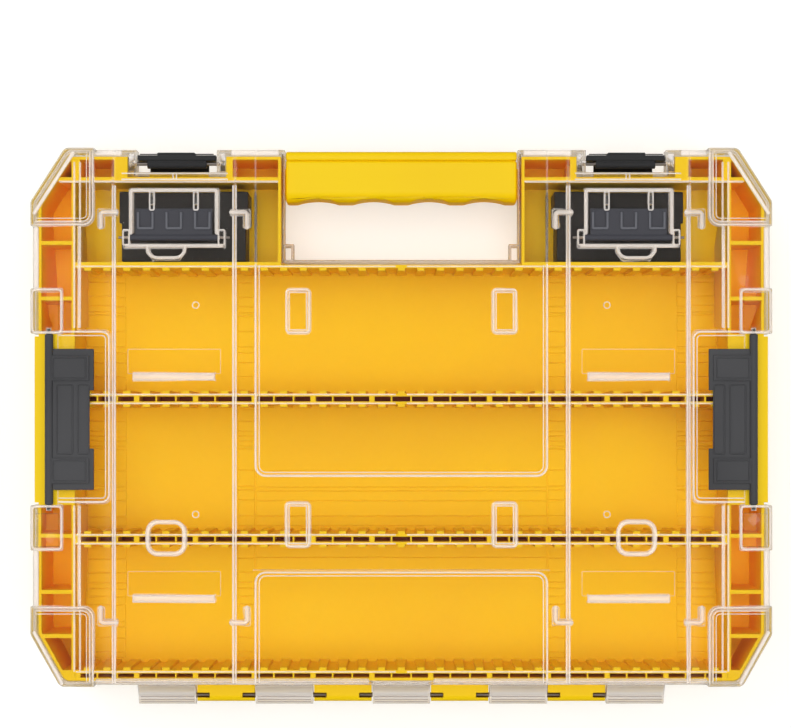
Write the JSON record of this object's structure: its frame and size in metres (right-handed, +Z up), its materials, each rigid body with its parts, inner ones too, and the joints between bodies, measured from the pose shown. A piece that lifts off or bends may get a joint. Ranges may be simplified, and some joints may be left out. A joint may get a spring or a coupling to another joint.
{
  "type": "compartment storage box",
  "caption": "Flat carry case for small parts: clear hinged lid with front, side and stacking latches over an open tray with long ribbed rows and a finger-grip handle.",
  "frame": {"origin": "on the standing surface under the middle of the whole case, hinge knuckles included", "axes": "+Z up, -Y towards the handle and front latches, +Y towards the hinge, +X to the right of someone facing the handle"},
  "size_m": [0.44, 0.3322, 0.08],
  "materials": {
    "yellow_plastic": "moulded polypropylene with a fine satin surface",
    "clear_plastic": "clear glossy moulded polycarbonate",
    "black_plastic": "fine textured moulded plastic",
    "grey_plastic": "fine textured moulded plastic",
    "steel": "drawn wire"
  },
  "bodies": {
    "tray": {"base_tray": "yellow_plastic", "handle_grip": "yellow_plastic", "handle_cover": "yellow_plastic", "socket_cover_right": "black_plastic", "socket_cover_left": "black_plastic", "hinge_pin_left_outer": "steel", "hinge_pin_left_inner": "steel", "hinge_pin_middle": "steel", "hinge_pin_right_inner": "steel", "hinge_pin_right_outer": "steel"},
    "lid": {"lid": "clear_plastic", "front_latch_pin_right": "steel", "front_latch_pin_left": "steel", "stack_catch_pin_right": "steel", "stack_catch_pin_left": "steel"},
    "front_latch_right": {"front_latch_right": "black_plastic"},
    "front_latch_left": {"front_latch_left": "black_plastic"},
    "side_latch_right": {"side_latch_right": "grey_plastic"},
    "side_latch_left": {"side_latch_left": "grey_plastic"},
    "stack_catch_right": {"stack_catch_right": "black_plastic"},
    "stack_catch_left": {"stack_catch_left": "black_plastic"}
  },
  "joints": [
    {"name": "lid_hinge", "type": "hinge", "parent": "tray", "child": "lid", "pos_m": [0, 0.1607, 0.052], "axis": [-1, 0, 0], "range_deg": [0, 180]},
    {"name": "front_latch_right_hinge", "type": "hinge", "parent": "lid", "child": "front_latch_right", "pos_m": [0.1336, -0.1573, 0.07], "axis": [-1, 0, 0], "range_deg": [0, 95]},
    {"name": "front_latch_left_hinge", "type": "hinge", "parent": "lid", "child": "front_latch_left", "pos_m": [-0.1336, -0.1573, 0.07], "axis": [-1, 0, 0], "range_deg": [0, 95]},
    {"name": "side_latch_right_hinge", "type": "hinge", "parent": "lid", "child": "side_latch_right", "pos_m": [0.2092, -0.0049, 0.0771], "axis": [0, 1, 0], "range_deg": [0, 120]},
    {"name": "side_latch_left_hinge", "type": "hinge", "parent": "lid", "child": "side_latch_left", "pos_m": [-0.2092, -0.0049, 0.0771], "axis": [0, -1, 0], "range_deg": [0, 120]},
    {"name": "stack_catch_right_hinge", "type": "hinge", "parent": "lid", "child": "stack_catch_right", "pos_m": [0.13495, -0.1129, 0.0775], "axis": [-1, 0, 0], "range_deg": [0, 95]},
    {"name": "stack_catch_left_hinge", "type": "hinge", "parent": "lid", "child": "stack_catch_left", "pos_m": [-0.13495, -0.1129, 0.0775], "axis": [-1, 0, 0], "range_deg": [0, 95]}
  ]
}
